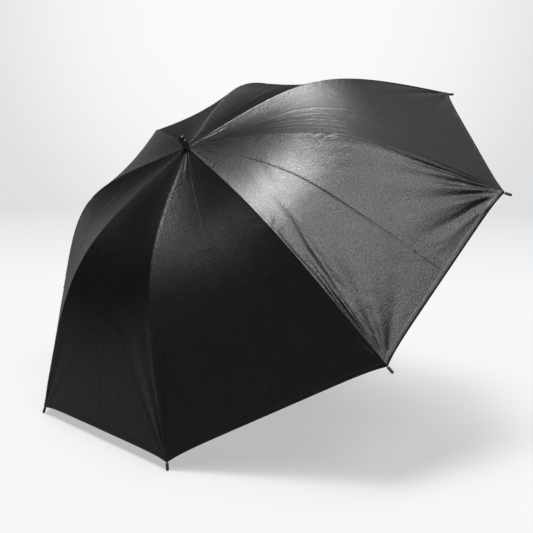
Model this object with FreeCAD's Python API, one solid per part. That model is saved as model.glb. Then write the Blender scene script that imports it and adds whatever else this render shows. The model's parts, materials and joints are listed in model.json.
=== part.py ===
import FreeCAD, Part
import math
import os

# A photographic reflector umbrella, opened and stood on the floor.
#
# Every piece is drawn in the umbrella's own frame: the canopy's apex is the origin, +Z runs down
# the shaft towards the handle end, and each rib's plane is turned about Z from the plane y = 0.
# The finished pieces are then tipped over together, so that two neighbouring rib tips and the
# shaft's end rest on z = 0 and +Z is up. Lengths are millimetres and angles are degrees.

V = FreeCAD.Vector
X_AXIS, Y_AXIS, Z_AXIS = V(1, 0, 0), V(0, 1, 0), V(0, 0, 1)

# ---- canopy -------------------------------------------------------------------------------
RIB_COUNT = 8
FIRST_RIB_AT = 112.5             # polar angle of rib 1, whose tip is one of the two feet
PITCH = 360.0 / RIB_COUNT        # angle from one rib to the next
HALF_PITCH = PITCH / 2
# Bezier control points, as (radius, depth), of the canopy's outer face along a bent rib
RIB_LINE = ((0.0, 0.0), (191.0, 20.0), (205.0, 17.5), (362.0, 180.0))
CLOTH = 0.5                      # thickness of the cloth with its coating
GORE_SAG = 6.0                   # how far the middle of a gore hangs inside its chord
HEM_SCOOP = 0.0055               # how far the hem stands in between two tips, as part of its rib line
HEM_SQUARE = 8                   # how soon the hem leaves a tip: 2 is a parabola, and more is straighter
APEX_HOLE_R = 5.0
PANEL_GAP = 0.2                  # between two panels, along the middle of a gore

# ---- shaft --------------------------------------------------------------------------------
SHAFT_R = 4.0
SHAFT_WALL = 0.8
SHAFT_TOP = -10.0                # depth of the tube's top end, inside the ferrule
SHAFT_LENGTH = 470.0             # apex to the rounded end
PLUG_STEM = 10.0
FIT = 0.05                       # radial clearance between pieces fixed to each other

# ---- ferrule and rosette ------------------------------------------------------------------
FERRULE_TOP = -18.0
FERRULE_R, FERRULE_NOSE_R = 5.2, 4.6
FLANGE_R, FLANGE_THICK = 6.8, 1.2
ROSETTE_R, ROSETTE_THICK = 10.0, 0.5
ROSETTE_LIFT = 0.08              # from the canopy's outer face

# ---- crown and runner: two notched heads that carry the pivots ---------------------------------
HEAD_R, HEAD_HEIGHT = 12.5, 8.2
PIVOT_R = 9.0                    # radius of the wire ring that the pivots turn on
CROWN_PIVOT_Z = 7.5
NOTCH_WIDTH, NOTCH_FLOOR_R = 1.8, 6.2
GROOVE_WIDTH, GROOVE_FLOOR_R = 1.5, 8.3
WIRE_R = 0.6
CROWN_PIN_R, CROWN_PIN_LENGTH = 0.75, 12.0
RUNNER_BORE_R = 4.08
SLEEVE_R, SLEEVE_LENGTH = 6.6, 27.0
GRIP_R, GRIP_LENGTH = 8.4, 3.0

# ---- rib, its joiner and its tip -----------------------------------------------------------
RIB_BACK = 1.7                   # from the outer cloth face to the back of the rib's channel
RIB_HEIGHT, RIB_WIDTH, RIB_WALL = 2.4, 2.6, 0.5
RIB_START_R = 16.0
RIB_MIDDLE = RIB_BACK + RIB_HEIGHT / 2
TONGUE_WIDTH, TONGUE_HEIGHT, EYE_R = 1.4, 2.0, 1.5
EYE_HOLE_R = WIRE_R + 0.08
STUB_R, STUB_BACK, STUB_OUT = 0.95, 9.0, 7.0
STUB_AT_HEM = 1.6                # depth of the stub's axis at the hem: the stub rises towards the cloth
CHANNEL_SHORT = 4.0              # the channel stops this far before the hem
JOINER_AT = 0.51                 # place of the joiner's rivet on RIB_LINE, 0 at the apex to 1 at the hem
JOINER_PIVOT = 7.4               # from the outer cloth face to the rivet
JOINER_HALF_LENGTH = 7.0
JOINER_BACK, JOINER_WALL, JOINER_GAP = 1.2, 0.45, 0.05
EAR_R, EAR_HALF_LENGTH = 2.0, 4.5
RIVET_R, RIVET_HEAD_R, RIVET_HEAD = 0.8, 1.5, 0.6
TIP_R, TIP_BORE_R, TIP_FROM, TIP_OUT = 1.75, 1.0, 0.4, 9.3

# ---- stretcher -----------------------------------------------------------------------------
BAR_WIDTH, BAR_HEIGHT, BAR_WALL = 2.4, 3.0, 0.5
BAR_INSET = 7.0                  # from the runner's pivot to the bar's start
BAR_EYE_R = 1.8

# ---- catch spring ----------------------------------------------------------------------------
CATCH_WIDTH, CATCH_THICK = 1.6, 0.8
CATCH_IN = 1.6                   # from the axis to the strip's inner face
CATCH_PROUD = 2.6                # how far the hump stands out of the tube
CATCH_PLAY = 0.4                 # from the runner's sleeve to the hump
CATCH_HUMP, CATCH_REACH = 15.0, 40.0
CATCH_EYE_R, CATCH_PIN_R = 1.05, 0.6
SLOT_WIDTH = 2.4
ROLL_BEYOND, ROLL_WIDTH, ROLL_DEPTH = 4.0, 1.6, 0.3   # groove rolled into the tube past the catch's root


# ---- geometry of the bent rib -------------------------------------------------------------------
def rib_line(t):
    """Point and unit tangent of the rib line, each as (radius, depth)."""
    s = 1 - t
    a, b, c, d = RIB_LINE
    point = [s**3 * a[i] + 3 * s * s * t * b[i] + 3 * s * t * t * c[i] + t**3 * d[i] for i in (0, 1)]
    slope = [s * s * (b[i] - a[i]) + 2 * s * t * (c[i] - b[i]) + t * t * (d[i] - c[i]) for i in (0, 1)]
    size = math.hypot(*slope)
    return point, (slope[0] / size, slope[1] / size), 3 * size


def under(t, depth):
    """Point in the rib's plane, a given depth inside the canopy's outer face."""
    (radius, z), (tr, tz), _ = rib_line(t)
    return V(radius - depth * tz, 0, z + depth * tr)


def along(t, distance):
    """Place on the rib line a short distance beyond t."""
    return t + distance / rib_line(t)[2]


def at_radius(radius):
    """Place on the rib line at a given radius from the shaft's axis."""
    low, high = 0.0, 1.0
    for _ in range(40):
        middle = (low + high) / 2
        if rib_line(middle)[0][0] < radius:
            low = middle
        else:
            high = middle
    return low


def crown_pivot():
    return V(PIVOT_R, 0, CROWN_PIVOT_Z)


def joiner_pivot():
    return under(JOINER_AT, JOINER_PIVOT)


def runner_pivot():
    """Equal links: the runner's pivot is as far beyond the joiner as the crown's is before it."""
    return V(PIVOT_R, 0, 2 * joiner_pivot().z - CROWN_PIVOT_Z)


def stub_line():
    """Where the rib's round stub passes the hem, and the way it points: a little up to the cloth."""
    hem = under(1.0, STUB_AT_HEM)
    return hem, (hem - under(along(1.0, -STUB_BACK), RIB_MIDDLE)).normalize()


def tip_end():
    """Centre of the ball that ends a tip cap, in the rib's plane."""
    hem, run = stub_line()
    return hem + run * (TIP_OUT - TIP_R)


# ---- small shape helpers --------------------------------------------------------------------------
def cylinder(radius, start, end):
    return Part.makeCylinder(radius, (end - start).Length, start, end - start)


def disc(radius, z_low, z_high):
    return cylinder(radius, V(0, 0, z_low), V(0, 0, z_high))


def cross_pin(radius, length, z):
    """A round bar across the shaft, along X."""
    return cylinder(radius, V(-length / 2, 0, z), V(length / 2, 0, z))


def slab(points, width):
    """A flat outline in the plane y = 0, thickened evenly to both sides."""
    face = Part.Face(Part.makePolygon(points + [points[0]]))
    face.translate(V(0, -width / 2, 0))
    return face.extrude(V(0, width, 0))


def band(t_from, t_to, depth_from, depth_to, width, steps=24):
    """A strip that follows the rib line between two depths, thickened to both sides."""
    places = [t_from + (t_to - t_from) * i / steps for i in range(steps + 1)]
    edges = []
    for depth in (depth_from, depth_to):
        curve = Part.BSplineCurve()
        curve.interpolate([under(t, depth) for t in places])
        edges.append(curve.toShape())
    ends = [Part.makeLine(under(t, depth_from), under(t, depth_to)) for t in (t_from, t_to)]
    face = Part.Face(Part.Wire(Part.__sortEdges__(edges + ends)))
    face.translate(V(0, -width / 2, 0))
    return face.extrude(V(0, width, 0))


def bar(start, end, height, width):
    """A straight bar between two points of the plane y = 0."""
    run = (end - start).normalize()
    side = V(-run.z, 0, run.x) * (height / 2)
    return slab([start - side, end - side, end + side, start + side], width)


def eye(centre, radius, width):
    return cylinder(radius, centre - Y_AXIS * (width / 2), centre + Y_AXIS * (width / 2))


def turned(profile):
    """A solid of revolution about Z from (radius, z) points."""
    points = [V(r, 0, z) for r, z in profile]
    face = Part.Face(Part.makePolygon(points + [points[0]]))
    return face.revolve(V(0, 0, 0), Z_AXIS, 360)


# ---- shaft group ---------------------------------------------------------------------------------
def plug_centre():
    return SHAFT_LENGTH - SHAFT_R


def hump_start():
    return runner_pivot().z + HEAD_HEIGHT / 2 + SLEEVE_LENGTH + CATCH_PLAY


def catch_hinge():
    """The catch turns where its root is pinned, on the side of the shaft away from the feet."""
    return V(0, -(CATCH_IN + CATCH_THICK / 2), hump_start() + CATCH_REACH)


def roll_start():
    return catch_hinge().z + ROLL_BEYOND


def shaft_tube():
    tube = disc(SHAFT_R, SHAFT_TOP, plug_centre())
    tube = tube.cut(disc(SHAFT_R - SHAFT_WALL, SHAFT_TOP - 1, plug_centre() + 1))
    slot = Part.makeBox(SLOT_WIDTH, SHAFT_R + 1, CATCH_HUMP + 6)
    slot.translate(V(-SLOT_WIDTH / 2, -SHAFT_R - 1, hump_start() - 2))
    hinge = catch_hinge()
    anchor = cross_pin(CATCH_PIN_R + FIT, 4 * SHAFT_R, hinge.z)
    anchor.translate(V(0, hinge.y, 0))
    roll_low, roll_high = roll_start(), roll_start() + ROLL_WIDTH
    roll = disc(SHAFT_R + 1, roll_low, roll_high).cut(disc(SHAFT_R - ROLL_DEPTH, roll_low, roll_high))
    return tube.cut([slot, anchor, roll, cross_pin(CROWN_PIN_R + FIT, 4 * SHAFT_R, CROWN_PIVOT_Z)])


def end_plug():
    centre = V(0, 0, plug_centre())
    dome = Part.makeSphere(SHAFT_R, centre).common(disc(SHAFT_R + 1, centre.z, SHAFT_LENGTH + 1))
    return dome.fuse(disc(SHAFT_R - SHAFT_WALL - FIT, centre.z - PLUG_STEM, centre.z + 1))


def ferrule():
    """The turned nose over the shaft's top end, with a flange that clamps the cloth."""
    base = cloth_level(SHAFT_R) - ROSETTE_LIFT - ROSETTE_THICK - 0.1
    shoulder = base - FLANGE_THICK
    nose = turned([(0, FERRULE_TOP), (FERRULE_NOSE_R - 1.2, FERRULE_TOP), (FERRULE_NOSE_R, FERRULE_TOP + 1.2),
                   (FERRULE_NOSE_R, FERRULE_TOP + 5), (FERRULE_NOSE_R - 0.5, FERRULE_TOP + 5.6),
                   (FERRULE_NOSE_R - 0.5, FERRULE_TOP + 6.4), (FERRULE_NOSE_R, FERRULE_TOP + 7),
                   (FERRULE_R, shoulder), (FLANGE_R, shoulder), (FLANGE_R, base), (0, base)])
    return nose.cut(disc(SHAFT_R + FIT, SHAFT_TOP - 0.2, base + 1))


def cloth_level(radius):
    """Depth of the canopy's outer face over a rib, at a given radius."""
    return rib_line(at_radius(radius))[0][1]


def apex_rosette():
    """The round patch that covers the gathered cloth under the ferrule."""
    inner, outer = SHAFT_R + 0.3, ROSETTE_R
    low = [cloth_level(r) - ROSETTE_LIFT for r in (inner, outer)]
    return turned([(inner, low[0]), (outer, low[1]), (outer, low[1] - ROSETTE_THICK),
                   (inner, low[0] - ROSETTE_THICK)])


def notched_head(z_pivot, bore_r):
    """A disc with one radial notch for each link and a groove round it for the wire."""
    low, high = z_pivot - HEAD_HEIGHT / 2, z_pivot + HEAD_HEIGHT / 2
    head = disc(HEAD_R, low, high)
    groove = disc(HEAD_R + 1, z_pivot - GROOVE_WIDTH / 2, z_pivot + GROOVE_WIDTH / 2)
    groove = groove.cut(disc(GROOVE_FLOOR_R, low, high))
    cuts = [groove, disc(bore_r, low - 1, high + 1)]
    for number in range(1, RIB_COUNT + 1):
        notch = Part.makeBox(HEAD_R, NOTCH_WIDTH, HEAD_HEIGHT + 2)
        notch.translate(V(NOTCH_FLOOR_R, -NOTCH_WIDTH / 2, low - 1))
        cuts.append(to_rib(notch, number))
    return head.cut(cuts)


def crown():
    pin_hole = cross_pin(CROWN_PIN_R + FIT, 3 * HEAD_R, CROWN_PIVOT_Z)
    return notched_head(CROWN_PIVOT_Z, SHAFT_R + FIT).cut(pin_hole)


def wire_ring(z):
    return Part.makeTorus(PIVOT_R, WIRE_R, V(0, 0, z), Z_AXIS)


def spring_anchor_pin():
    hinge = catch_hinge()
    half_chord = math.sqrt(SHAFT_R**2 - (abs(hinge.y) + CATCH_PIN_R)**2)
    pin = cross_pin(CATCH_PIN_R, 2 * half_chord, hinge.z)
    pin.translate(V(0, hinge.y, 0))
    return pin


def catch_spring():
    """A sprung strip inside the tube whose hump stands out of the slot and holds the runner up."""
    hinge = catch_hinge()
    start = hump_start()
    outer = CATCH_IN + CATCH_THICK
    top = SHAFT_R + CATCH_PROUD
    outline = [(CATCH_IN, start - 1), (CATCH_IN, hinge.z), (outer, hinge.z), (outer, start + CATCH_HUMP),
               (top, start + 2), (top, start), (outer, start), (outer, start - 1)]
    strip = Part.Face(Part.makePolygon([V(-CATCH_WIDTH / 2, -out, z) for out, z in outline + outline[:1]]))
    strip = strip.extrude(V(CATCH_WIDTH, 0, 0))
    hub_from, hub_to = hinge - X_AXIS * (CATCH_WIDTH / 2), hinge + X_AXIS * (CATCH_WIDTH / 2)
    hub = cylinder(CATCH_EYE_R, hub_from, hub_to)
    hole = cylinder(CATCH_PIN_R + FIT, hub_from - X_AXIS, hub_to + X_AXIS)
    return strip.fuse(hub).cut(hole)


def runner():
    """The sliding head, with the sleeve and grip ring that a hand takes hold of."""
    z = runner_pivot().z
    low = z + HEAD_HEIGHT / 2
    high = low + SLEEVE_LENGTH
    sleeve = turned([(RUNNER_BORE_R, low - 1), (SLEEVE_R, low - 1), (SLEEVE_R, high - GRIP_LENGTH - 1.5),
                     (GRIP_R, high - GRIP_LENGTH), (GRIP_R, high - 0.8), (GRIP_R - 0.8, high),
                     (RUNNER_BORE_R, high)])
    head = notched_head(z, RUNNER_BORE_R)
    return head.fuse(sleeve.cut(disc(HEAD_R, low - 2, low)))


# ---- one rib and what it carries, in the plane y = 0 ----------------------------------------------------
def rib():
    """A bent steel channel, open inwards, with a flat eye at the crown and a round stub at the tip."""
    start = at_radius(RIB_START_R)
    end = along(1.0, -CHANNEL_SHORT)
    channel = band(start, end, RIB_BACK, RIB_BACK + RIB_HEIGHT, RIB_WIDTH, 40)
    inside = band(along(start, -2), along(end, 2), RIB_BACK + RIB_WALL, RIB_BACK + RIB_HEIGHT + 1,
                  RIB_WIDTH - 2 * RIB_WALL, 40)
    root = along(start, 6)
    neck = slab([crown_pivot() - V(0, 0, TONGUE_HEIGHT / 2), under(start, RIB_BACK + 0.1),
                 under(root, RIB_BACK + 0.1), under(root, RIB_BACK + RIB_HEIGHT - 0.2),
                 under(start, RIB_BACK + RIB_HEIGHT - 0.2), crown_pivot() + V(0, 0, TONGUE_HEIGHT / 2)],
                TONGUE_WIDTH)
    hem, run = stub_line()
    stub = cylinder(STUB_R, hem - run * STUB_BACK, hem + run * STUB_OUT)
    whole = channel.cut(inside).fuse([neck, eye(crown_pivot(), EYE_R, TONGUE_WIDTH), stub])
    return whole.cut(eye(crown_pivot(), EYE_HOLE_R, 4 * TONGUE_WIDTH))


def joiner():
    """The folded bracket crimped over the rib, whose two ears carry the stretcher's rivet."""
    start, end = along(JOINER_AT, -JOINER_HALF_LENGTH), along(JOINER_AT, JOINER_HALF_LENGTH)
    width = RIB_WIDTH + 2 * (JOINER_GAP + JOINER_WALL)
    rib_bottom = RIB_BACK + RIB_HEIGHT
    saddle = band(start, end, JOINER_BACK, rib_bottom, width, 8)
    ear_from, ear_to = along(JOINER_AT, -EAR_HALF_LENGTH), along(JOINER_AT, EAR_HALF_LENGTH)
    pivot = joiner_pivot()
    _, (tr, tz), _ = rib_line(JOINER_AT)
    half = V(tr, 0, tz) * EAR_R
    ears = slab([under(ear_from, rib_bottom - 1), under(ear_to, rib_bottom - 1), pivot + half, pivot - half], width)
    channel = band(along(start, -4), along(end, 4), JOINER_BACK + JOINER_WALL, JOINER_PIVOT + 2 * EAR_R,
                   RIB_WIDTH + 2 * JOINER_GAP, 8)
    bracket = saddle.fuse([ears, eye(pivot, EAR_R, width)])
    return bracket.cut([channel, eye(pivot, RIVET_R + FIT, 2 * width)])


def rivet():
    pivot = joiner_pivot()
    outside = RIB_WIDTH + 2 * (JOINER_GAP + JOINER_WALL)
    shank = eye(pivot, RIVET_R, outside + RIVET_HEAD)
    heads = []
    for side in (-1, 1):
        near = pivot + Y_AXIS * (side * outside / 2)
        heads.append(cylinder(RIVET_HEAD_R, near, near + Y_AXIS * (side * RIVET_HEAD)))
    return shank.fuse(heads)


def tip():
    """The moulded cap on the rib's end, with a ball end that the umbrella can stand on."""
    hem, run = stub_line()
    cap = cylinder(TIP_R, hem + run * TIP_FROM, tip_end()).fuse(Part.makeSphere(TIP_R, tip_end()))
    return cap.cut(cylinder(TIP_BORE_R, hem, hem + run * (STUB_OUT + 0.3)))


def stretcher():
    """A grooved bar from the runner to the joiner, with a thin eye at the runner."""
    inner, outer = runner_pivot(), joiner_pivot()
    run = (outer - inner).normalize()
    bar_from = inner + run * BAR_INSET
    body = bar(bar_from, outer, BAR_HEIGHT, BAR_WIDTH)
    groove = bar(bar_from - run, outer - run * (3 * BAR_EYE_R), BAR_HEIGHT, BAR_WIDTH - 2 * BAR_WALL)
    groove.translate(V(run.z, 0, -run.x) * -BAR_WALL)
    tongue = bar(inner, bar_from + run * 6, TONGUE_HEIGHT, TONGUE_WIDTH)
    whole = body.cut(groove).fuse([tongue, eye(inner, EYE_R, TONGUE_WIDTH), eye(outer, BAR_EYE_R, BAR_WIDTH)])
    return whole.cut([eye(inner, EYE_HOLE_R, 4 * TONGUE_WIDTH), eye(outer, RIVET_R + 2 * FIT, 2 * BAR_WIDTH)])


# ---- one canopy panel, from mid-gore to mid-gore over a rib -----------------------------------------------
def cloth_point(t, share, depth):
    """Point of the cloth: t along the rib line, share of the way from the rib to mid-gore."""
    full = HALF_PITCH - math.degrees(math.asin(PANEL_GAP / 2 / max(rib_line(t)[0][0], APEX_HOLE_R - 1)))
    angle = share * full
    taut = 1 - angle / HALF_PITCH
    loose = 1 - taut**2
    place = t * (1 - HEM_SCOOP * (1 - taut**HEM_SQUARE))
    (radius, z), (tr, tz), _ = rib_line(place)
    chord = math.cos(math.radians(HALF_PITCH)) / math.cos(math.radians(HALF_PITCH - angle))
    drop = GORE_SAG * loose * math.sin(math.pi * place) + depth
    radius = radius * chord - drop * tz
    z += drop * tr
    return V(radius * math.cos(math.radians(angle)), radius * math.sin(math.radians(angle)), z)


def panel():
    """Closed sheet of even thickness: two halves that meet in the rib's plane."""
    rows, columns = 20, 6
    start = at_radius(APEX_HOLE_R)
    skins = []
    for depth in (0.0, CLOTH):
        grid = [[cloth_point(start + (1 - start) * i / rows, j / columns, depth) for j in range(columns + 1)]
                for i in range(rows + 1)]
        surface = Part.BSplineSurface()
        surface.interpolate(grid)
        skins.append(surface)
    faces = [skin.toShape() for skin in skins]
    u_low, u_high, v_low, v_high = skins[0].bounds()
    for borders in ([s.uIso(u_low) for s in skins], [s.uIso(u_high) for s in skins],
                    [s.vIso(v_low) for s in skins], [s.vIso(v_high) for s in skins]):
        faces.append(Part.makeRuledSurface(borders[0].toShape(), borders[1].toShape()))
    shell = Part.makeShell(faces)
    shell.sewShape()
    half = Part.makeSolid(shell)
    if half.Volume < 0:
        half.reverse()
    return half.fuse(half.mirror(V(0, 0, 0), Y_AXIS))


# ---- assembly -----------------------------------------------------------------------------------------
def rib_angle(number):
    return FIRST_RIB_AT - PITCH * (number - 1)


def to_rib(shape, number):
    placed = shape.copy()
    placed.rotate(V(0, 0, 0), Z_AXIS, rib_angle(number))
    return placed


def lean():
    """Angle of the shaft to the floor when two tip caps and the shaft's end touch it together."""
    foot = tip_end()
    reach = foot.x * math.cos(math.radians(HALF_PITCH))
    drop = plug_centre() - foot.z
    step = SHAFT_R - TIP_R
    return math.degrees(math.acos(step / math.hypot(reach, drop)) - math.atan2(drop, reach))


def floor_depth():
    """Distance of the floor below the apex, measured upright."""
    return plug_centre() * math.sin(math.radians(lean())) + SHAFT_R


def standing(shapes):
    """Placement that tips the umbrella over, puts the floor at z = 0 and centres it on the origin."""
    tipped = FreeCAD.Rotation(X_AXIS, -90 - lean())
    ys = [tipped.multVec(p).y for shape in shapes for p in shape.tessellate(0.1)[0]]
    return FreeCAD.Placement(V(0, -(min(ys) + max(ys)) / 2, floor_depth()), tipped)


def build():
    nodes = {
        "shaft_tube": shaft_tube(), "end_plug": end_plug(), "ferrule": ferrule(),
        "apex_rosette": apex_rosette(), "crown": crown(), "crown_wire": wire_ring(CROWN_PIVOT_Z),
        "crown_pin": cross_pin(CROWN_PIN_R, CROWN_PIN_LENGTH, CROWN_PIVOT_Z),
        "catch_spring": catch_spring(), "spring_anchor_pin": spring_anchor_pin(),
        "runner": runner(), "runner_wire": wire_ring(runner_pivot().z),
    }
    one_rib = {"rib": rib(), "joiner": joiner(), "rivet": rivet(), "tip": tip(),
               "stretcher": stretcher(), "canopy": panel()}
    for number in range(1, RIB_COUNT + 1):
        for name, shape in one_rib.items():
            nodes["%s_%d" % (name, number)] = to_rib(shape, number)
    return nodes


def main():
    nodes = build()
    placement = standing(nodes.values())
    os.makedirs("parts", exist_ok=True)
    for name, shape in nodes.items():
        shape.Placement = placement.multiply(shape.Placement)
        shape.exportStep("parts/%s.step" % name)
        print("%-18s solids %d valid %s volume %.1f" % (name, len(shape.Solids), shape.isValid(), shape.Volume))
    print("lean %.2f, floor %.2f below the apex" % (lean(), floor_depth()))


if __name__ == "__main__":
    main()
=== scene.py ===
import json
import math

import bpy
import numpy as np
from mathutils import Matrix


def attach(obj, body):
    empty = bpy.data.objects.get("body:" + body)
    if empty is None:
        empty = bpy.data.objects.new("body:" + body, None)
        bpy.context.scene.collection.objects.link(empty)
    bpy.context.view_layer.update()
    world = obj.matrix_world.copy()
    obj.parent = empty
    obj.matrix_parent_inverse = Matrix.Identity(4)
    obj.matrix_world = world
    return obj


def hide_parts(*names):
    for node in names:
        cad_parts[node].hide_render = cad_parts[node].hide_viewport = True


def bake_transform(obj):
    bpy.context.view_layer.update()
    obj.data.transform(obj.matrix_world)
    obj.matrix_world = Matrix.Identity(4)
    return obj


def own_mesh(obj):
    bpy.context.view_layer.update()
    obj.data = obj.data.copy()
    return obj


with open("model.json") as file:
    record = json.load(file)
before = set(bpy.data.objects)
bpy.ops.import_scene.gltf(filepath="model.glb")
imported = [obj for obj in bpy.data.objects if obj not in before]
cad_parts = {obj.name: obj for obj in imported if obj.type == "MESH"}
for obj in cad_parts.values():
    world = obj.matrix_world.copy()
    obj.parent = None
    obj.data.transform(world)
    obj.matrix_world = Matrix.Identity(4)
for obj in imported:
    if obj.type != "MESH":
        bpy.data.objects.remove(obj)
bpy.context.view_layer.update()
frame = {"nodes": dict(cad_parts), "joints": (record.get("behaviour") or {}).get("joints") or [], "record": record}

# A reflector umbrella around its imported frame. Lengths are metres, unless a name ends in _MM.
# The cloth is drawn in "gore" coordinates: t along the rib line, s the length along it from the
# apex, and w the distance sideways from the nearest rib. Relief is worked out there in
# millimetres, outwards from the smooth canopy. A half gore is named by its rib's number and its side,
# 1 towards the next rib and -1 towards the one before.

RECORD = frame["record"]
JOINTS = {joint["name"]: joint for joint in frame["joints"]}
RIBS = 8
NUMBERS = range(1, RIBS + 1)
HALF_PITCH = math.pi / RIBS
MM = 0.001

# ---- the canopy's own dimensions, as in the CAD model --------------------------------------------
RIB_LINE = np.array([(0.0, 0.0), (191.0, 20.0), (205.0, 17.5), (362.0, 180.0)])
GORE_SAG_MM, HEM_SCOOP, HEM_SQUARE = 6.0, 0.0055, 8
CROWN_DEPTH_MM = 7.5
APEX_HOLE_MM = 5.0
JOINER_AT = 0.51
CLOTH_MM = 0.4

# ---- the canopy's mesh ---------------------------------------------------------------------------
ROW_STEP_MM = 2.9
HEM_ROWS_MM = (8.0, 6.6, 6.0, 5.4, 4.0, 2.6, 1.5, 0.8, 0.3, 0.0)     # from the hem
NEAR_RIB_MM = (0.0, 0.6, 1.2, 1.9, 2.7, 3.6, 4.8, 6.4, 8.4, 11.0)     # from the rib
NEAR_MIDDLE_MM = (7.5, 4.2, 2.2, 1.0, 0.0)                            # from mid-gore
BETWEEN_COLUMNS = 26
NARROW_MM = 22.0    # columns crowd together where a gore is this narrow

GORE_TEXTURE_STEP_MM = 400.0    # keeps the gores' weave apart


# ---- the umbrella's axes in the row frame --------------------------------------------------------
AXIS = np.array(RECORD["mounts"][0]["axis"], float)
CROWN_PIVOT = {k: np.array(JOINTS["rib_%d_hinge" % k]["pos_m"], float) for k in NUMBERS}
CENTRE = sum(CROWN_PIVOT.values()) / RIBS
APEX = CENTRE - AXIS * CROWN_DEPTH_MM * MM


def unit(vector):
    return vector / np.linalg.norm(vector)


def following(number):
    return number % RIBS + 1


def previous(number):
    return (number - 2) % RIBS + 1


RADIAL = {k: unit(CROWN_PIVOT[k] - CENTRE) for k in NUMBERS}


def sideways(number, side):
    """Unit vector square to a rib's plane, towards the next rib (side 1) or the one before (-1)."""
    other = RADIAL[following(number)] if side > 0 else RADIAL[previous(number)]
    along = RADIAL[number]
    return unit(other - along * (other @ along))


# ---- the smooth canopy ---------------------------------------------------------------------------
def rib_line(t):
    """Radius, depth and unit tangent (radius, depth) of the rib line, for an array of t."""
    s = 1 - t
    a, b, c, d = RIB_LINE
    weights = (s**3, 3 * s * s * t, 3 * s * t * t, t**3)
    radius, depth = (sum(w * p[i] for w, p in zip(weights, RIB_LINE)) for i in (0, 1))
    slopes = (s * s, 2 * s * t, t * t)
    steps = (b - a, c - b, d - c)
    run, fall = (sum(w * p[i] for w, p in zip(slopes, steps)) for i in (0, 1))
    size = np.hypot(run, fall)
    return radius, depth, run / size, fall / size


TABLE_T = np.linspace(0, 1, 2001)
TABLE_R, TABLE_Z, _, _ = rib_line(TABLE_T)
TABLE_S = np.concatenate([[0], np.cumsum(np.hypot(np.diff(TABLE_R), np.diff(TABLE_Z)))])
HEM_S = TABLE_S[-1]
APEX_S = float(np.interp(APEX_HOLE_MM, TABLE_R, TABLE_S))
JOINER_S = float(np.interp(JOINER_AT, TABLE_T, TABLE_S))


def smooth(x, low, high):
    """0 below low, 1 above high, and smooth between."""
    u = np.clip((x - low) / (high - low), 0, 1)
    return u * u * (3 - 2 * u)


def bell(x, centre, width):
    return np.exp(-((x - centre) / width) ** 2)


def row_places():
    """Distances s of the mesh rows from the apex, with one row exactly at the joiners."""
    inner = np.linspace(APEX_S, JOINER_S, int((JOINER_S - APEX_S) / ROW_STEP_MM) + 1)
    last = HEM_S - HEM_ROWS_MM[0]
    outer = np.linspace(JOINER_S, last, int((last - JOINER_S) / ROW_STEP_MM) + 1)
    return np.concatenate([inner, outer[1:], HEM_S - np.array(HEM_ROWS_MM[1:])]), len(inner) - 1


def column_places(half_width):
    """Distances w of the columns from the rib, for each row: (rows, columns)."""
    crowd = half_width / (half_width + NARROW_MM)
    near = np.outer(crowd, NEAR_RIB_MM)
    far = half_width[:, None] - np.outer(crowd, NEAR_MIDDLE_MM)
    share = np.linspace(0, 1, BETWEEN_COLUMNS + 1)[1:-1]
    gap = far[:, :1] - near[:, -1:]
    return np.hstack([near, near[:, -1:] + gap * share, far])


def half_gore(s):
    """The smooth cloth from a rib to mid-gore: (w, half width, along, across, depth) arrays in mm."""
    t = np.interp(s, TABLE_S, TABLE_T)
    radius = np.interp(t, TABLE_T, TABLE_R)
    half_width = radius * math.sin(HALF_PITCH)
    w = column_places(half_width)
    from_middle = (math.sin(HALF_PITCH) - w / radius[:, None]) / math.cos(HALF_PITCH)
    angle = HALF_PITCH - np.arctan(from_middle)
    taut = 1 - angle / HALF_PITCH
    place = t[:, None] * (1 - HEM_SCOOP * (1 - np.clip(taut, 0, 1) ** HEM_SQUARE))
    radius, depth, run, fall = rib_line(place)
    chord = math.cos(HALF_PITCH) / np.cos(HALF_PITCH - angle)
    drop = GORE_SAG_MM * (1 - taut**2) * np.sin(math.pi * place)
    radius = radius * chord - drop * fall
    return w, half_width[:, None], radius * np.cos(angle), radius * np.sin(angle), depth + drop * run


# ---- relief of the sewn, stretched cloth, in mm --------------------------------------------------
def ripple(x, y, seed, scale, count=14):
    """A smooth, repeatable wander of about unit size, with waves of about the given length in mm."""
    random = np.random.RandomState(seed)
    total = np.zeros(np.broadcast(x, y).shape)
    for _ in range(count):
        turn, phase = random.uniform(0, 2 * math.pi, 2)
        length = scale * random.uniform(0.7, 1.5)
        total += np.sin(2 * math.pi * (x * math.cos(turn) + y * math.sin(turn)) / length + phase)
    return total * math.sqrt(2 / count)


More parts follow.
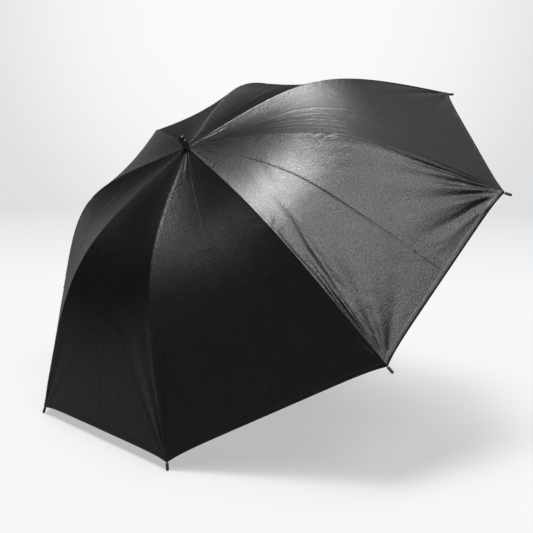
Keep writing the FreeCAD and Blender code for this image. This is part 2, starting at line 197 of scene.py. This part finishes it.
# Folds that fan out of a tip: (angle from the rib in degrees, width in degrees, height, reach)
FANS = {
    (3, 1): ((3.0, 1.5, -1.5, 85), (6.5, 1.3, 0.9, 110), (9.5, 1.6, -1.3, 120), (16, 2.6, 0.7, 60),
             (25, 4.5, -1.0, 55), (40, 6.0, 0.6, 45), (62, 8.0, -0.8, 60)),
    (4, -1): ((3.5, 1.6, -2.0, 75), (8.5, 2.0, 0.7, 60), (15, 3.2, -2.6, 42), (24, 4.0, 0.9, 48),
              (36, 4.5, -1.3, 52), (50, 5.0, 0.8, 55), (66, 5.0, -1.6, 62), (76, 4.0, 0.9, 60)),
    (3, -1): ((3.2, 1.4, -0.8, 60), (9, 2.0, -0.7, 50), (13, 1.6, 0.8, 48), (28, 5.0, -0.6, 50)),
    (4, 1): ((3.5, 1.8, -1.1, 60), (10, 3.0, 0.5, 45), (20, 4.0, -0.6, 40)),
    (2, 1): ((4.0, 2.0, 1.1, 70), (11, 2.6, -1.5, 70), (20, 3.4, 1.4, 60), (34, 5.0, -1.1, 50)),
    (2, -1): ((4.5, 2.2, -0.9, 65), (12, 3.0, 1.0, 60), (24, 4.0, -1.0, 60)),
    (1, 1): ((5.0, 2.5, 1.0, 60), (14, 3.0, -1.2, 60), (26, 4.0, 0.9, 55)),
}
PLAIN_FAN = ((4.0, 1.8, -0.9, 60), (10, 2.6, 0.6, 50), (18, 3.4, -1.0, 46),
             (34, 5.0, 0.7, 46), (60, 6.0, -0.8, 52))
LEAST_FOLD_MM, LEAST_ACROSS_MM = 1.6, 4.0    # a fold's least width, along a rib and across the gore
STEEPEST = 0.42                              # a fold's greatest height, as a share of its width
FOLD_WANDER, FOLD_WANDER_MM = 0.5, 90        # how far a fold bends, in degrees, and over what length

# Creases left by packing, as (gore, points (s, x from mid-gore), width, height)
CREASES = (
    (3, ((95, 2), (200, 1), (300, -2), (436, -4)), 1.1, -0.6),
    (3, ((320, 14), (436, 8)), 1.4, -0.45),
    (3, ((352, -22), (398, 24)), 1.5, 0.4),
    (3, ((366, -30), (392, -2)), 1.4, -0.4),
    (3, ((380, 4), (402, 34)), 1.6, -0.5),
    (3, ((255, -72), (310, -88), (380, -108)), 1.8, -0.7),
    (3, ((262, -62), (320, -78), (390, -104)), 2.0, 0.45),
    (4, ((95, -25), (160, -42), (240, -70)), 1.1, 0.7),
    (4, ((105, -20), (170, -36), (235, -58)), 1.1, -0.7),
    (4, ((110, -12), (180, -22), (245, -40)), 1.1, 0.65),
    (4, ((120, -6), (190, -10), (260, -26)), 1.1, -0.6),
    (4, ((130, 8), (190, 10), (250, 4)), 1.3, 0.55),
    (4, ((90, 0), (250, 2), (402, 2)), 1.3, -0.2),
    (2, ((190, 6), (222, -4), (236, -8)), 1.2, -0.5),
    (2, ((205, 20), (196, -30)), 1.8, 0.3),
    (2, ((60, 0), (160, 2), (400, 2)), 1.4, -0.18),
    (1, ((90, 0), (400, 0)), 1.4, -0.25),
    (5, ((80, -2), (250, 2), (400, 0)), 1.3, -0.3),
    (6, ((80, 2), (250, -2), (400, 0)), 1.3, -0.3),
    (7, ((80, 0), (250, 3), (400, 2)), 1.3, -0.25),
    (8, ((80, 0), (250, -3), (400, -2)), 1.3, -0.25),
)
CREASE_EASE_MM = 25.0

# Sewing, in mm
SEAM_HEIGHT_MM = 0.14
SEAM_LAPS_MM = {1: (2.7, 3.6), -1: (0.6, 1.5)}    # where the felled seam's step falls, for each side
PUCKER_MM, PUCKER_LENGTH_MM = 0.09, 11.0
DIMPLE_MM, DIMPLE_WIDTH_MM = -0.5, 3.5
HEM_STEP_MM, HEM_STEP_FROM_MM, HEM_STEP_TO_MM = 0.35, 5.4, 6.6
HEM_ROLL_MM, HEM_ROLL_WIDTH_MM = -1.1, 1.6


def tip_fan(number, side, s, w):
    """Tension folds that run from a tip into the cloth, in polar coordinates about the tip."""
    reach_in = HEM_S - s + 0.5
    distance = np.hypot(w, reach_in)
    angle = np.degrees(np.arctan2(w, reach_in))
    total = np.zeros(s.shape)
    for index, (at, width, height, reach) in enumerate(FANS.get((number, side), PLAIN_FAN)):
        seed = 40 * number + 3 * index + side
        bend = at + FOLD_WANDER * ripple(distance, 0 * distance, seed, FOLD_WANDER_MM, 4)
        aside = distance * np.sin(np.radians(angle - bend))
        least = LEAST_FOLD_MM + LEAST_ACROSS_MM * np.sin(np.radians(bend))
        wide = np.maximum(distance * math.radians(width), least)
        near = distance / (0.55 * reach)
        tall = np.minimum(abs(height) * near * np.exp(1 - near), STEEPEST * wide)
        total += math.copysign(1, height) * tall * bell(aside, 0, wide)
    return total * smooth(w, 0.3, 3.0) * smooth(distance, 6, 22)


def crease(points, width, height, s, x):
    """A narrow ridge or groove along a line in the gore's plane, fading in and out at its ends."""
    line = np.array(points, float)
    if abs(line[-1, 0] - line[0, 0]) > abs(line[-1, 1] - line[0, 1]):
        across, along, key = x, s, 0
    else:
        across, along, key = s, x, 1
    order = np.argsort(line[:, key])
    keys, offs = line[order, key], line[order, 1 - key]
    centre = np.interp(along, keys, offs)
    ease = min(0.25 * (keys[-1] - keys[0]), CREASE_EASE_MM)
    fade = smooth(along, keys[0], keys[0] + ease) * (1 - smooth(along, keys[-1] - ease, keys[-1]))
    u = (across - centre) / width
    return height * (1 - 0.6 * u * u) * np.exp(-u * u) * fade


def seam(w, side):
    """A flat-felled seam: the two gores' edges are folded together on one side of the rib."""
    return SEAM_HEIGHT_MM * (1 - smooth(w, *SEAM_LAPS_MM[side]))


def pucker(number, side, s, w):
    """Short gathers where the seam's thread pulls the cloth."""
    size = 0.5 + 0.5 * ripple(s, 0 * s, 11 * number + side, 60, 5)
    drift = 2.2 * ripple(s, 0 * s, 7 * number + side, 45, 4)
    wave = np.sin(2 * math.pi * (s + 0.25 * w) / PUCKER_LENGTH_MM + drift)
    return PUCKER_MM * size * wave * smooth(w, 0.5, 4) * (1 - smooth(w, 6, 22))


def gathers(number, side, s, w, half_width):
    """Radial pleats where the cloth is drawn together under the ferrule."""
    turn = (number * 2 + side * w / half_width) * HALF_PITCH
    size = 0.004 * s * (1 - smooth(s, 30, 75)) * smooth(s, 9, 13)
    wave = np.sin(turn * 27 + 1.1 * np.sin(3 * turn)) * 0.7 + np.sin(turn * 43 + 1) * 0.45
    return size * (wave - 1.0)


def joiner_dimple(s, w):
    """The cloth is tied down to the rib at the joiner."""
    return DIMPLE_MM * bell(s, JOINER_S, DIMPLE_WIDTH_MM) * bell(w, 0, DIMPLE_WIDTH_MM)


def hem(s):
    """A turned hem: a double thickness that rolls over at its edge."""
    from_hem = HEM_S - s
    step = HEM_STEP_MM * (1 - smooth(from_hem, HEM_STEP_FROM_MM, HEM_STEP_TO_MM))
    roll = HEM_ROLL_MM * (1 - smooth(from_hem, 0, HEM_ROLL_WIDTH_MM))
    return step + roll


def relief(number, side, s, w, half_width):
    """How far the cloth of a half gore stands out from the smooth canopy."""
    gore = number if side > 0 else previous(number)
    x = (w - half_width) * side
    off_rib = smooth(w, 0.5, 30)
    open_cloth = smooth(s, 20, 90)
    total = seam(w, side) * smooth(s, 16, 60) + joiner_dimple(s, w) + pucker(number, side, s, w)
    total = total + gathers(number, side, s, w, half_width) + tip_fan(number, side, s, w) + hem(s)
    total += 0.09 * off_rib * open_cloth * ripple(x, s, 100 + gore, 85)
    total += 0.035 * off_rib * open_cloth * ripple(x, s, 200 + gore, 26)
    total += 0.02 * smooth(w, 0.5, 12) * open_cloth * ripple(x, s, 300 + gore, 11)
    for where, points, width, height in CREASES:
        if where == gore:
            total += crease(points, width, height, s, x) * smooth(w, 0.5, 5)
    return total


# ---- the whole canopy as one grid of points and normals ------------------------------------------
def whole_canopy():
    """Outer points and outward normals for each (rib, side), as (rows, columns, 3), and shared facts."""
    s_rows, joiner_row = row_places()
    w, half_width, along, across, depth = half_gore(s_rows)
    s = np.broadcast_to(s_rows[:, None], w.shape)
    base, heights = {}, {}
    for number in NUMBERS:
        for side in (1, -1):
            base[number, side] = (APEX + MM * (along[..., None] * RADIAL[number]
                                               + across[..., None] * sideways(number, side)
                                               + depth[..., None] * AXIS))
            heights[number, side] = relief(number, side, s, w, half_width)
    flat = {key: grid_normals(points, key) for key, points in base.items()}
    share_borders(flat)
    outer = {key: base[key] + flat[key] * heights[key][..., None] * MM for key in base}
    share_border_points(outer)
    normals = {key: grid_normals(points, key) for key, points in outer.items()}
    share_borders(normals)
    facts = {"s": s, "w": w, "half_width": half_width, "joiner_row": joiner_row, "flat": flat}
    return outer, normals, facts


def grid_normals(points, key):
    """Unit normals of a half gore's grid, outwards."""
    down, over = np.gradient(points, axis=0), np.gradient(points, axis=1)
    normal = np.cross(over, down) * key[1]
    normal /= np.linalg.norm(normal, axis=2, keepdims=True)
    outward = np.sign((normal[len(normal) // 2, 5] * -AXIS).sum())
    return normal * outward


def share_borders(normals):
    """Averages the normals of neighbouring half gores where they meet, at the ribs and mid-gore."""
    for number in NUMBERS:
        pairs = (((number, 1), (number, -1), 0), ((number, 1), (following(number), -1), -1))
        for a, b, column in pairs:
            mean = normals[a][:, column] + normals[b][:, column]
            mean /= np.linalg.norm(mean, axis=1, keepdims=True)
            normals[a][:, column] = mean
            normals[b][:, column] = mean


def share_border_points(points):
    """Neighbouring half gores meet in the same points."""
    for number in NUMBERS:
        pairs = (((number, 1), (number, -1), 0), ((number, 1), (following(number), -1), -1))
        for a, b, column in pairs:
            mean = (points[a][:, column] + points[b][:, column]) / 2
            points[a][:, column] = mean
            points[b][:, column] = mean


# ---- meshes --------------------------------------------------------------------------------------
def new_object(name, mesh):
    thing = bpy.data.objects.new(name, mesh)
    bpy.context.scene.collection.objects.link(thing)
    return thing


def sheet_mesh(name, grid, outside, inside):
    """A thin closed sheet from a grid of outer points: outer skin, inner skin and edge between them."""
    points, normals, flat, seam_uv, gore_uv = grid
    rows, columns = points.shape[:2]
    count = rows * columns
    index = np.arange(count).reshape(rows, columns)
    skin = np.stack([index[:-1, :-1], index[1:, :-1], index[1:, 1:], index[:-1, 1:]], -1).reshape(-1, 4)
    a, b, c = (points.reshape(-1, 3)[skin[:, i]] for i in (0, 1, 2))
    facing = (np.cross(b - a, c - b) * normals.reshape(-1, 3)[skin[:, 0]]).sum()
    if facing < 0:
        skin = skin[:, ::-1]
    skin = np.concatenate([skin[:, (0, 1, 2)], skin[:, (0, 2, 3)]])
    inner_skin = skin[:, ::-1] + count
    rim = np.concatenate([index[0, :], index[1:, -1], index[-1, -2::-1], index[-2:0:-1, 0]])
    following_rim = np.roll(rim, -1)
    edge = np.stack([rim, following_rim, following_rim + count, rim + count], -1)
    if facing > 0:
        edge = edge[:, ::-1]
    faces = skin.tolist() + inner_skin.tolist() + edge.tolist()
    thickness = CLOTH_MM * MM
    both = np.concatenate([points.reshape(-1, 3), (points - flat * thickness).reshape(-1, 3)])
    mesh = bpy.data.meshes.new(name)
    mesh.from_pydata(both.tolist(), [], faces)
    mesh.materials.append(outside)
    mesh.materials.append(inside)
    material = np.zeros(len(faces), np.int32)
    material[len(skin):2 * len(skin)] = 1
    mesh.polygons.foreach_set("material_index", material)
    mesh.polygons.foreach_set("use_smooth", np.ones(len(faces), bool))
    loops = np.zeros(len(mesh.loops), np.int32)
    mesh.loops.foreach_get("vertex_index", loops)
    for layer_name, uv in (("gore", gore_uv), ("seam", seam_uv)):
        layer = mesh.uv_layers.new(name=layer_name)
        both_uv = np.tile(uv.reshape(-1, 2), (2, 1))
        layer.data.foreach_set("uv", both_uv[loops].astype(np.float32).ravel())
    directions = np.concatenate([normals.reshape(-1, 3), -normals.reshape(-1, 3)])
    mesh.normals_split_custom_set_from_vertices(directions.tolist())
    mesh.update()
    return mesh


def half_grid(canopy, key, rows):
    """Points, normals, smooth normals and texture coordinates of some rows of a half gore."""
    outer, normals, facts = canopy
    side = key[1]
    s, w = facts["s"][rows], facts["w"][rows]
    seam_uv = np.stack([side * w, s], -1) * MM
    across = side * (w - facts["half_width"][rows]) + GORE_TEXTURE_STEP_MM * key[0]
    gore_uv = np.stack([across, s], -1) * MM
    return outer[key][rows], normals[key][rows], facts["flat"][key][rows], seam_uv, gore_uv


def joined(left, right):
    """Two half grids side by side, mid-gore to mid-gore, sharing the rib's column."""
    return [np.concatenate([a[:, :0:-1], b], 1) for a, b in zip(left, right)]


def build_canopy(outside, inside):
    """One inner panel for each rib, and one outer panel on each side of it, split at the joiners."""
    canopy = whole_canopy()
    split = canopy[2]["joiner_row"]
    inner_rows, outer_rows = slice(0, split + 1), slice(split, None)
    for number in NUMBERS:
        halves = [half_grid(canopy, (number, side), inner_rows) for side in (-1, 1)]
        grid = joined(*halves)
        name = "cloth_inner_%d" % number
        panel = new_object(name, sheet_mesh(name, grid, outside, inside))
        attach(panel, "rib_%d" % number)
        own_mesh(panel)
        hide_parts("canopy_%d" % number)
        for side, word in ((1, "b"), (-1, "a")):
            grid = half_grid(canopy, (number, side), outer_rows)
            name = "cloth_outer_%d%s" % (number, word)
            panel = new_object(name, sheet_mesh(name, grid, outside, inside))
            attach(panel, "rib_end_%d" % number)
            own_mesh(panel)


# ---- materials -----------------------------------------------------------------------------------
class Nodes:
    """Short words for building a material's node tree."""

    def __init__(self, name):
        self.material = bpy.data.materials.new(name)
        self.material.use_nodes = True
        self.tree = self.material.node_tree
        self.shader = self.tree.nodes["Principled BSDF"]

    def add(self, kind, **values):
        node = self.tree.nodes.new(kind)
        for key, value in values.items():
            setattr(node, key, value)
        return node

    def link(self, source, target):
        self.tree.links.new(source, target)

    def feed(self, socket, value):
        if hasattr(value, "is_output"):
            self.link(value, socket)
        else:
            socket.default_value = value

    def uv(self, layer):
        return self.add("ShaderNodeUVMap", uv_map=layer).outputs["UV"]

    def place(self):
        return self.add("ShaderNodeTexCoord").outputs["Object"]

    def scaled(self, vector, scale):
        node = self.add("ShaderNodeMapping")
        self.link(vector, node.inputs["Vector"])
        node.inputs["Scale"].default_value = scale
        return node.outputs["Vector"]

    def noise(self, vector, scale, detail=3.0, rough=0.55):
        node = self.add("ShaderNodeTexNoise")
        self.link(vector, node.inputs["Vector"])
        node.inputs["Scale"].default_value = scale
        node.inputs["Detail"].default_value = detail
        node.inputs["Roughness"].default_value = rough
        return node.outputs["Fac"]

    def math(self, operation, a, b=0.0):
        node = self.add("ShaderNodeMath", operation=operation)
        self.feed(node.inputs[0], a)
        self.feed(node.inputs[1], b)
        return node.outputs[0]

    def ranged(self, value, low, high, to_low, to_high):
        node = self.add("ShaderNodeMapRange")
        self.feed(node.inputs["Value"], value)
        limits = {"From Min": low, "From Max": high, "To Min": to_low, "To Max": to_high}
        for name, number in limits.items():
            node.inputs[name].default_value = number
        return node.outputs[0]

    def mixed(self, share, dark, light):
        node = self.add("ShaderNodeMix", data_type="RGBA")
        self.feed(node.inputs["Factor"], share)
        node.inputs[6].default_value = (*dark, 1)
        node.inputs[7].default_value = (*light, 1)
        return node.outputs[2]

    def bump(self, height, strength, distance_mm, before=None):
        node = self.add("ShaderNodeBump")
        node.inputs["Strength"].default_value = strength
        node.inputs["Distance"].default_value = distance_mm * MM
        self.link(height, node.inputs["Height"])
        if before:
            self.link(before, node.inputs["Normal"])
        return node.outputs["Normal"]

    def set(self, **values):
        for name, value in values.items():
            self.feed(self.shader.inputs[name.replace("_", " ")], value)


def woven_height(nodes):
    """Satin threads: long floats one way, fine threads the other, with slubs and small crinkles."""
    cloth = nodes.uv("gore")
    warp = nodes.noise(nodes.scaled(cloth, (900, 60, 1)), 1.0, 2.0)
    weft = nodes.noise(nodes.scaled(cloth, (80, 1000, 1)), 1.0, 2.0)
    threads = nodes.math("ADD", warp, weft)
    crinkle = nodes.noise(cloth, 420, 3.0, 0.6)
    return threads, crinkle, cloth


STITCH_MM, STITCH_HALF_WIDTH_MM = 2.6, 0.22
STITCHES_FROM_RIB_MM, STITCHES_FROM_HEM_MM = 2.4, 4.9


def dashes(nodes, along):
    """1 on a stitch and 0 between stitches, along a row of them."""
    turns = nodes.math("MULTIPLY", along, 2 * math.pi / (STITCH_MM * MM))
    return nodes.math("GREATER_THAN", nodes.math("SINE", turns), -0.2)


def stitch_mask(nodes):
    """Rows of stitches beside the ribs and along the hem, 1 on a stitch."""
    node = nodes.add("ShaderNodeSeparateXYZ")
    nodes.link(nodes.uv("seam"), node.inputs[0])
    across, along = node.outputs[0], node.outputs[1]
    line = nodes.math("ABSOLUTE", nodes.math("SUBTRACT", across, STITCHES_FROM_RIB_MM * MM))
    beside_rib = nodes.math("LESS_THAN", line, STITCH_HALF_WIDTH_MM * MM)
    rib_row = nodes.math("MULTIPLY", beside_rib, dashes(nodes, along))
    hem_row_at = (HEM_S - STITCHES_FROM_HEM_MM) * MM
    hem_line = nodes.math("ABSOLUTE", nodes.math("SUBTRACT", along, hem_row_at))
    on_hem = nodes.math("LESS_THAN", hem_line, STITCH_HALF_WIDTH_MM * MM)
    return nodes.math("MAXIMUM", rib_row, nodes.math("MULTIPLY", on_hem, dashes(nodes, across)))


def satin_outside():
    """Black satin: dark threads with a soft gloss that varies with the crinkles."""
    nodes = Nodes("black_satin")
    threads, crinkle, cloth = woven_height(nodes)
    stitches = stitch_mask(nodes)
    patchy = nodes.noise(cloth, 24, 3.0)
    worn_rough = nodes.ranged(patchy, 0.3, 0.7, 0.27, 0.32)
    thread_rough = nodes.ranged(threads, 0.7, 1.3, -0.03, 0.04)
    rough = nodes.math("ADD", worn_rough, thread_rough)
    thread_shade = nodes.ranged(threads, 0.7, 1.3, 0.0, 0.6)
    shade = nodes.math("ADD", thread_shade, nodes.math("MULTIPLY", stitches, 0.8))
    gloss = nodes.ranged(crinkle, 0.35, 0.65, 0.22, 0.44)
    normal = nodes.bump(crinkle, 0.8, 0.5)
    normal = nodes.bump(threads, 0.35, 0.12, normal)
    normal = nodes.bump(stitches, 0.6, 0.2, normal)
    colour = nodes.mixed(shade, (0.0025, 0.0025, 0.0028), (0.007, 0.007, 0.0075))
    nodes.set(Base_Color=colour, Roughness=rough, Normal=normal, Specular_IOR_Level=gloss)
    return nodes.material


def silver_inside():
    """The silver coating of the cloth's inner face."""
    nodes = Nodes("silver_coating")
    threads, crinkle, cloth = woven_height(nodes)
    patchy = nodes.noise(cloth, 30, 4.0)
    normal = nodes.bump(crinkle, 0.5, 0.5)
    normal = nodes.bump(threads, 0.4, 0.12, normal)
    colour = nodes.mixed(patchy, (0.66, 0.66, 0.68), (0.78, 0.78, 0.8))
    rough = nodes.ranged(patchy, 0.3, 0.7, 0.3, 0.42)
    nodes.set(Base_Color=colour, Metallic=0.4, Roughness=rough, Normal=normal)
    return nodes.material


def steel(name, dark, light, rough, scale=(60, 60, 60), worn=0.1):
    """Plated or drawn steel with fine scratches and a little dulling."""
    nodes = Nodes(name)
    place = nodes.place()
    patchy = nodes.noise(place, 90, 4.0)
    scratch = nodes.noise(nodes.scaled(place, scale), 40, 3.0)
    nodes.set(Base_Color=nodes.mixed(patchy, dark, light), Metallic=1.0,
              Roughness=nodes.ranged(scratch, 0.3, 0.7, rough, rough + worn),
              Normal=nodes.bump(scratch, 0.15, 0.05))
    return nodes.material


def moulded(name, colour, rough, grain, gloss=0.0):
    """Moulded plastic with a fine grain."""
    nodes = Nodes(name)
    place = nodes.place()
    fine = nodes.noise(place, 1400, 2.0)
    patchy = nodes.noise(place, 70, 3.0)
    lighter = tuple(1.7 * c + 0.004 for c in colour)
    nodes.set(Base_Color=nodes.mixed(patchy, colour, lighter),
              Roughness=nodes.ranged(patchy, 0.3, 0.7, rough, rough + 0.08),
              Normal=nodes.bump(fine, grain, 0.05), Coat_Weight=gloss, Coat_Roughness=0.05)
    return nodes.material


def finish_cad_nodes(looks):
    """Gives each shown CAD node the material of its slot in the record."""
    for part in RECORD["subparts"]:
        thing = frame["nodes"][part["node"]]
        if thing.hide_render:
            continue
        for holder in thing.material_slots:
            holder.link = "OBJECT"
            holder.material = looks[part["material_slot"]]


# ---- ribs: a copy of each CAD rib's mesh ---------------------------------------------------------
def smooth_rib(number, look):
    """A copy of the CAD rib's mesh in the given look; it stands for the CAD rib, which is hidden."""
    source = frame["nodes"]["rib_%d" % number]
    mesh = source.data.copy()
    rib = new_object("bent_rib_%d" % number, mesh)
    mesh.materials.clear()
    mesh.materials.append(look)
    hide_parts("rib_%d" % number)
    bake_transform(rib)


# ---- rosette -------------------------------------------------------------------------------------
ROSETTE_RINGS, ROSETTE_SPOKES, ROSETTE_PLEATS = 10, 128, 11
ROSETTE_HOLE_MM, ROSETTE_RADIUS_MM, ROSETTE_LIFT_MM = 4.4, 9.4, 0.75


def rosette(outside):
    """A gathered disc of the canopy's cloth under the ferrule, pinched between its pleats."""
    spokes = ROSETTE_SPOKES
    turn = np.linspace(0, 2 * math.pi, spokes, endpoint=False)
    radii = np.linspace(ROSETTE_HOLE_MM, ROSETTE_RADIUS_MM, ROSETTE_RINGS)
    side_a, side_b = RADIAL[1], np.cross(AXIS, RADIAL[1])
    pleat = np.sin(ROSETTE_PLEATS * turn + 1.1 * np.sin(3 * turn))
    points = []
    for radius in radii:
        out = radius + 0.3 * pleat * smooth(radius, 7, ROSETTE_RADIUS_MM)
        lift = -ROSETTE_LIFT_MM - 0.015 * (1 + pleat) * smooth(radius, 5, 7.5)
        low = np.interp(radius, TABLE_R, TABLE_Z)
        around = np.outer(out * np.cos(turn), side_a) + np.outer(out * np.sin(turn), side_b)
        points.append(APEX + MM * (around + np.outer(low + lift, AXIS)))
    outer = np.array(points)
    top, bottom = outer, outer + AXIS * CLOTH_MM * MM
    grid = np.concatenate([top, bottom[::-1]])
    rows = len(grid)
    index = np.arange(rows * spokes).reshape(rows, spokes)
    beside = np.roll(index, -1, axis=1)
    below, below_beside = np.roll(index, -1, axis=0), np.roll(beside, -1, axis=0)
    faces = np.stack([index, beside, below_beside, below], -1).reshape(-1, 4)
    mesh = bpy.data.meshes.new("gathered_rosette")
    mesh.from_pydata(grid.reshape(-1, 3).tolist(), [], faces.tolist())
    mesh.materials.append(outside)
    layer = mesh.uv_layers.new(name="gore")
    loops = np.zeros(len(mesh.loops), np.int32)
    mesh.loops.foreach_get("vertex_index", loops)
    flat = (grid.reshape(-1, 3) - APEX) @ np.stack([side_a, side_b], 1)
    layer.data.foreach_set("uv", flat[loops].astype(np.float32).ravel())
    far = mesh.uv_layers.new(name="seam")
    far.data.foreach_set("uv", (flat[loops] + 0.1).astype(np.float32).ravel())
    mesh.polygons.foreach_set("use_smooth", np.ones(len(faces), bool))
    mesh.update()
    piece = new_object("gathered_rosette", mesh)
    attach(piece, "shaft")
    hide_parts("apex_rosette")


# ---- stage ---------------------------------------------------------------------------------------
BACKDROP = (0.74, 0.95)          # the backdrop as the camera sees it, at its dimmest and brightest
BACKDROP_POOL = (-47, 8, 3, 20)  # azimuth and elevation of its brightest place, inner and outer angle
FLOOR_FADE = (1.1, 3.2)          # the floor melts into the backdrop between these distances
FLOOR_SHADE = 0.1                # the floor's shade in the cloth's reflections
FLOOR_SEEN_MORE = 0.085          # what is added to that shade for the camera
FLOOR_BOUNCE_MORE = 0.4          # and for the light that it throws up
FLOOR_GLOW = 0.44                # its own glow for both of these, like a table lit from below


def floor():
    """A pale round floor that fades out at its edge."""
    bpy.ops.mesh.primitive_circle_add(vertices=96, radius=FLOOR_FADE[1] + 0.2, fill_type="NGON")
    plane = bpy.context.object
    plane.name = "floor"
    nodes = Nodes("pale_floor")
    path = nodes.add("ShaderNodeLightPath")
    seen, thrown = path.outputs["Is Camera Ray"], path.outputs["Is Diffuse Ray"]
    seen_more = nodes.math("MULTIPLY", seen, FLOOR_SEEN_MORE)
    more = nodes.math("ADD", seen_more, nodes.math("MULTIPLY", thrown, FLOOR_BOUNCE_MORE))
    nodes.set(Base_Color=nodes.math("ADD", more, FLOOR_SHADE), Roughness=0.7, Specular_IOR_Level=0.1)
    glow = nodes.math("MULTIPLY", nodes.math("MAXIMUM", seen, thrown), FLOOR_GLOW)
    nodes.set(Emission_Color=(1, 1, 1, 1), Emission_Strength=glow)
    length = nodes.add("ShaderNodeVectorMath", operation="LENGTH")
    nodes.link(nodes.place(), length.inputs[0])
    share = nodes.ranged(length.outputs["Value"], *FLOOR_FADE, 0.0, 1.0)
    clear = nodes.add("ShaderNodeBsdfTransparent")
    blend = nodes.add("ShaderNodeMixShader")
    nodes.link(share, blend.inputs[0])
    nodes.link(nodes.shader.outputs[0], blend.inputs[1])
    nodes.link(clear.outputs[0], blend.inputs[2])
    nodes.link(blend.outputs[0], nodes.tree.nodes["Material Output"].inputs["Surface"])
    plane.data.materials.append(nodes.material)


# Soft lights, as (azimuth from +Y towards +X, elevation, inner and outer angle, brightness). Angles
# are in degrees.
SOFTBOXES = (
    (-45, 68, 5, 11, 14.0),
    (-85, 82, 6, 14, 22.0),
    (-155, 77, 6, 14, 26.0),
    (95, 59, 9, 20, 9.5),
    (-46, 44, 4, 12, 1.5),
    (-157, 42, 2, 8, 8.0),
    (170, 12, 10, 40, 0.12),
    (-75, 9, 6, 20, 0.35),
    (-20, 38, 8, 24, 0.35),
)
FILL = 0.015    # the brightness of all the rest


def direction(azimuth, elevation):
    """The unit vector towards an azimuth and elevation in degrees."""
    a, e = math.radians(azimuth), math.radians(elevation)
    return (math.sin(a) * math.cos(e), math.cos(a) * math.cos(e), math.sin(e))


def pool(tree, coordinates, place, low, high):
    """A soft round patch of the surroundings: high inside the inner angle, low outside the outer one."""
    azimuth, elevation, inner, outer = place
    dot = tree.nodes.new("ShaderNodeVectorMath")
    dot.operation = "DOT_PRODUCT"
    tree.links.new(coordinates, dot.inputs[0])
    dot.inputs[1].default_value = direction(azimuth, elevation)
    edge = tree.nodes.new("ShaderNodeMapRange")
    edge.interpolation_type = "SMOOTHSTEP"
    tree.links.new(dot.outputs["Value"], edge.inputs["Value"])
    edge.inputs["From Min"].default_value = math.cos(math.radians(outer))
    edge.inputs["From Max"].default_value = math.cos(math.radians(inner))
    edge.inputs["To Min"].default_value = low
    edge.inputs["To Max"].default_value = high
    return edge.outputs[0]


def studio():
    """Soft lights all round as a world, with a plain pale backdrop for the camera."""
    world = bpy.data.worlds.new("studio")
    world.use_nodes = True
    bpy.context.scene.world = world
    tree = world.node_tree
    background = tree.nodes["Background"]
    coordinates = tree.nodes.new("ShaderNodeTexCoord").outputs["Generated"]
    total = None
    for azimuth, elevation, inner, outer, brightness in SOFTBOXES:
        edge = pool(tree, coordinates, (azimuth, elevation, inner, outer), 0.0, brightness)
        add = tree.nodes.new("ShaderNodeMath")
        tree.links.new(edge, add.inputs[0])
        if total is None:
            add.inputs[1].default_value = FILL
        else:
            tree.links.new(total, add.inputs[1])
        total = add.outputs[0]
    path = tree.nodes.new("ShaderNodeLightPath")
    choose = tree.nodes.new("ShaderNodeMix")
    tree.links.new(path.outputs["Is Camera Ray"], choose.inputs["Factor"])
    tree.links.new(total, choose.inputs[2])
    tree.links.new(pool(tree, coordinates, BACKDROP_POOL, *BACKDROP), choose.inputs[3])
    tree.links.new(choose.outputs[0], background.inputs["Color"])


# The camera, along the row's X, the direction square to it and the shaft, and the shaft, in metres
EYE = (0.92896, 0.53883, -0.48394)          # from the apex
EYE_RIGHT = (0.68108, -0.56590, 0.46465)
EYE_UP = (-0.11646, -0.71023, -0.69427)
LENS = 60.61


def camera():
    """Seen from in front and below the apex, from the side of the canopy that faces down."""
    level = np.array([1.0, 0.0, 0.0])
    axes = np.stack([level, np.cross(AXIS, level), AXIS], 1)
    right, up = axes @ EYE_RIGHT, axes @ EYE_UP
    turn = Matrix(np.stack([unit(right), unit(up), unit(np.cross(right, up))], 1).tolist()).to_4x4()
    data = bpy.data.cameras.new("camera")
    data.sensor_width, data.lens = 36.0, LENS
    data.clip_start, data.clip_end = 0.01, 50
    seen = new_object("camera", data)
    seen.matrix_world = Matrix.Translation(APEX + axes @ EYE) @ turn
    bpy.context.scene.camera = seen


# ---- the scene -----------------------------------------------------------------------------------
def main():
    """Builds the stage, the looks and every soft or bent piece."""
    camera()
    floor()
    studio()
    bpy.context.scene.view_settings.view_transform = "Standard"
    outside, inside = satin_outside(), silver_inside()
    bright_steel = steel("bright_steel", (0.5, 0.5, 0.51), (0.66, 0.66, 0.67), 0.24)
    looks = {
        "canopy_cloth": outside,
        "rib_steel": bright_steel,
        "shaft_steel": steel("plated_tube", (0.66, 0.66, 0.68), (0.8, 0.8, 0.82), 0.12, (200, 200, 8)),
        "wire_steel": steel("drawn_wire", (0.42, 0.42, 0.42), (0.55, 0.55, 0.55), 0.3),
        "spring_steel": steel("spring_strip", (0.36, 0.36, 0.38), (0.5, 0.5, 0.52), 0.26),
        "black_plastic": moulded("black_moulding", (0.016, 0.016, 0.016), 0.38, 0.25),
        "ferrule_black": moulded("gloss_moulding", (0.008, 0.008, 0.008), 0.16, 0.05, 0.6),
        "tip_plastic": moulded("tip_moulding", (0.009, 0.009, 0.009), 0.36, 0.2),
    }
    build_canopy(outside, inside)
    rosette(outside)
    for number in NUMBERS:
        smooth_rib(number, bright_steel)
    finish_cad_nodes(looks)


main()
